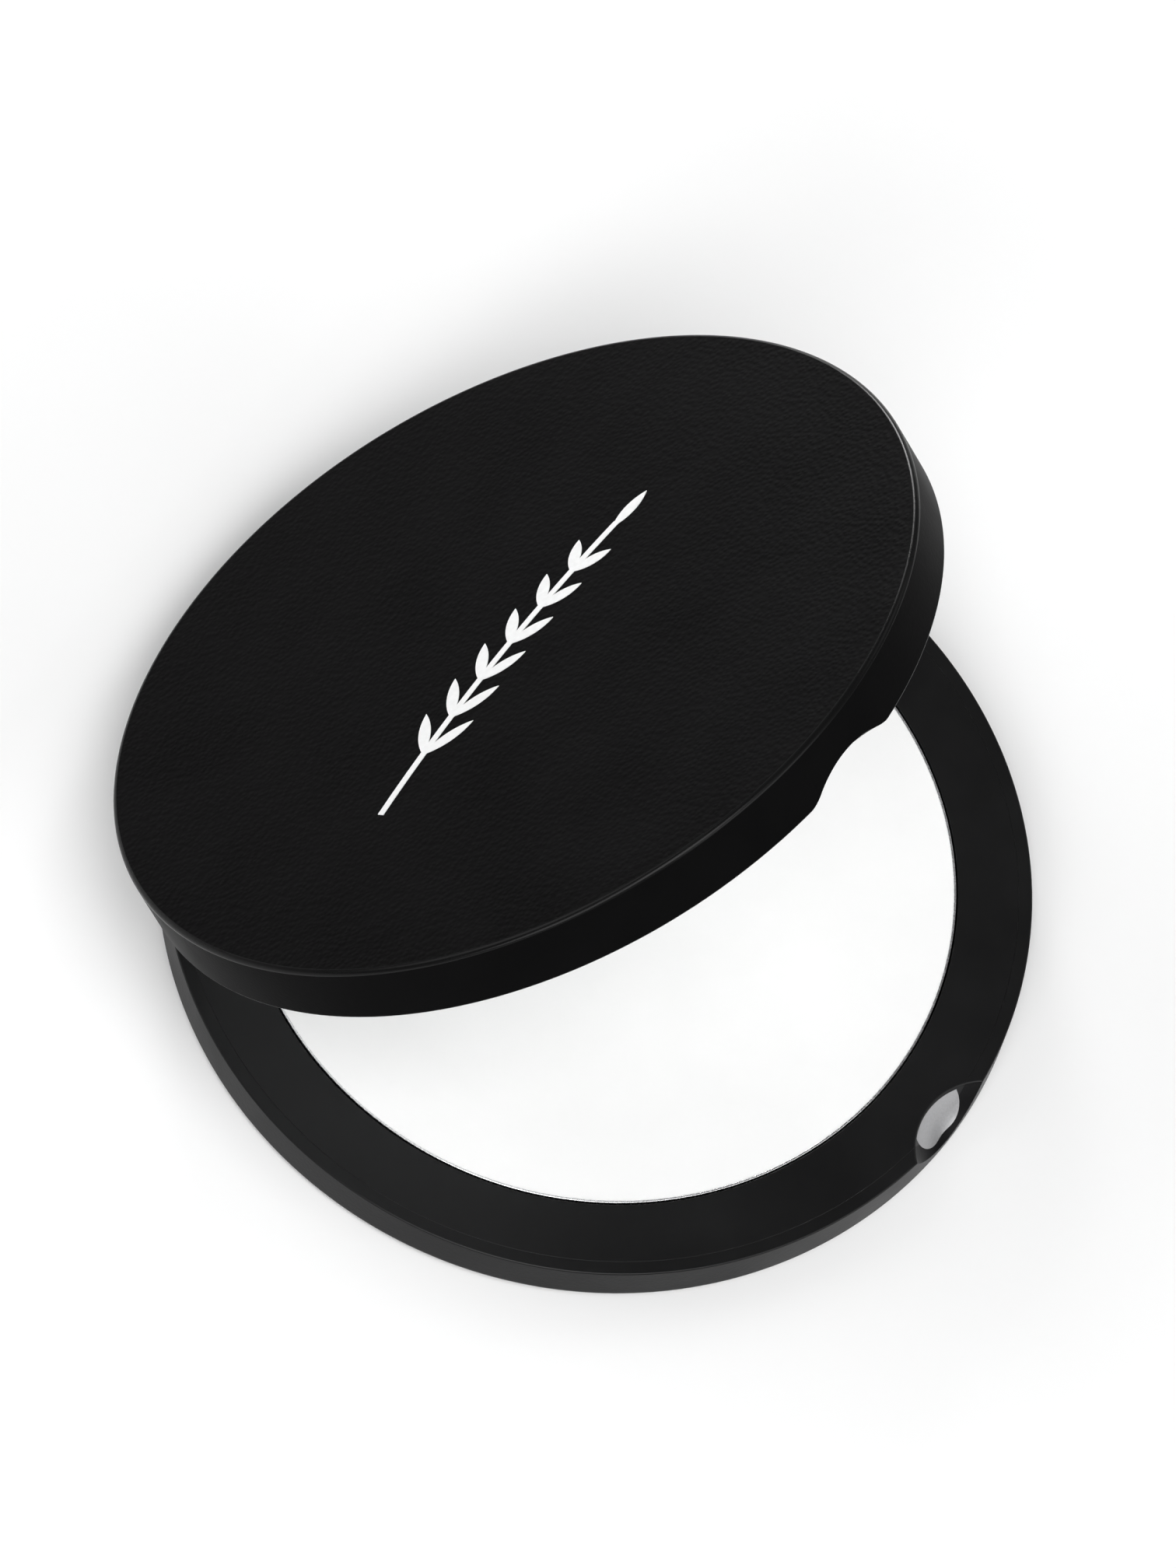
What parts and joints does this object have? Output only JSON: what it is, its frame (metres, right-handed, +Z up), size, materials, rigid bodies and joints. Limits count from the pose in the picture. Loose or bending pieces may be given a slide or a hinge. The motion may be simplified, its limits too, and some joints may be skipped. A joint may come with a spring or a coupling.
{
  "type": "powder compact",
  "caption": "Slim round black powder compact with a hinged lid, inner mirror, pressed powder in a flush pan and a thumb scoop at the front.",
  "frame": {"origin": "centre of the flat underside of the base", "axes": "+Z up out of the base, -Y towards the front with the thumb scoop, +Y towards the hinge; the hinge axis runs along X"},
  "size_m": [0.076, 0.0803, 0.0564],
  "materials": {
    "base_plastic": "satin moulded black",
    "lid_plastic": "matte black with a fine moulded grain",
    "inner_plastic": "satin moulded black",
    "satin_metal": "satin nickel plated",
    "pan_metal": "bright pressed",
    "powder": "smooth pressed white powder",
    "adhesive": "soft foam tape",
    "magnet": "nickel plated",
    "label": "matte black film",
    "pin_steel": "ground",
    "mirror": "polished",
    "white_print": "pad printed white",
    "sleeve": "natural acetal"
  },
  "bodies": {
    "base": {"base_shell": "base_plastic", "inner_tray": "inner_plastic", "thumb_plate": "satin_metal", "powder_pan": "pan_metal", "powder_cake": "powder", "pan_adhesive_pad": "adhesive", "base_magnet_left": "magnet", "base_magnet_right": "magnet", "underside_label": "label", "hinge_pin": "pin_steel"},
    "lid": {"lid_shell": "lid_plastic", "lid_frame": "inner_plastic", "lid_mirror": "mirror", "mirror_adhesive_pad": "adhesive", "lid_emblem": "white_print", "lid_magnet_left": "magnet", "lid_magnet_right": "magnet", "friction_sleeve_left": "sleeve", "friction_sleeve_right": "sleeve"}
  },
  "joints": [
    {"name": "lid_hinge", "type": "hinge", "parent": "base", "child": "lid", "pos_m": [0, 0.0353, 0.0027], "axis": [-1, 0, 0], "range_deg": [-40.8, 49.2]}
  ]
}
